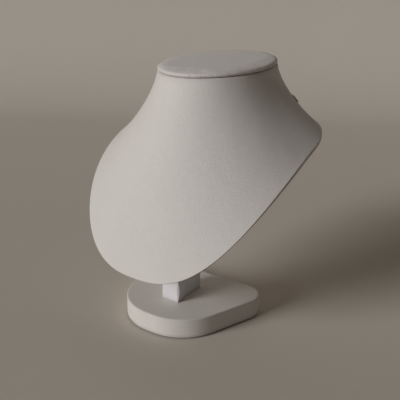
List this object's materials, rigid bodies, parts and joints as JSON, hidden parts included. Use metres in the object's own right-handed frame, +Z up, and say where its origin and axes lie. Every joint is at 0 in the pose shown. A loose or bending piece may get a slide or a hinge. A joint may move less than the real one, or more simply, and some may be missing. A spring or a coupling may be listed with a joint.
{
  "type": "necklace display bust",
  "caption": "Leatherette-covered neck and chest form with a padded oval cap, on a post and a rounded base, for showing a necklace.",
  "frame": {"origin": "the middle of the post's footprint, on the surface that the base stands on", "axes": "+Z up, -Y the front that shows the necklace, +X the wearer's left; the object is symmetric about the YZ plane"},
  "size_m": [0.203, 0.194, 0.2433],
  "materials": {
    "leatherette": "fine-grained white synthetic leather, satin",
    "fibreboard": "plain sanded fibreboard",
    "block_wood": "sawn softwood",
    "shell_plastic": "moulded, matt",
    "foam": "open-cell upholstery foam",
    "hook_tape": "woven hook-and-loop tape",
    "base_pad": "dense felt",
    "screw_steel": "zinc-plated"
  },
  "bodies": {
    "stand": {"base_pad": "base_pad", "base_board": "fibreboard", "base_cover": "leatherette", "base_screw_front": "screw_steel", "base_screw_rear": "screw_steel", "post_block": "fibreboard", "post_cover": "leatherette", "under_board": "fibreboard", "under_cover": "leatherette", "fixing_block": "block_wood", "bust_washer_front": "screw_steel", "bust_washer_rear": "screw_steel", "bust_screw_front": "screw_steel", "bust_screw_rear": "screw_steel", "bust_shell": "shell_plastic", "bust_cover": "leatherette", "neck_board": "fibreboard", "cap_board": "fibreboard", "cap_foam": "foam", "cap_cover": "leatherette", "cap_screw_left": "screw_steel", "cap_screw_right": "screw_steel", "strap_anchor": "leatherette", "anchor_rivet": "screw_steel", "hook_patch": "hook_tape"},
    "strap": {"nape_strap": "leatherette", "loop_patch": "hook_tape"}
  },
  "joints": [
    {"name": "strap_fold", "type": "hinge", "parent": "stand", "child": "strap", "pos_m": [-0.0524, 0.1113, 0.20125], "axis": [0, 0, 1], "range_deg": [0, 90]}
  ]
}
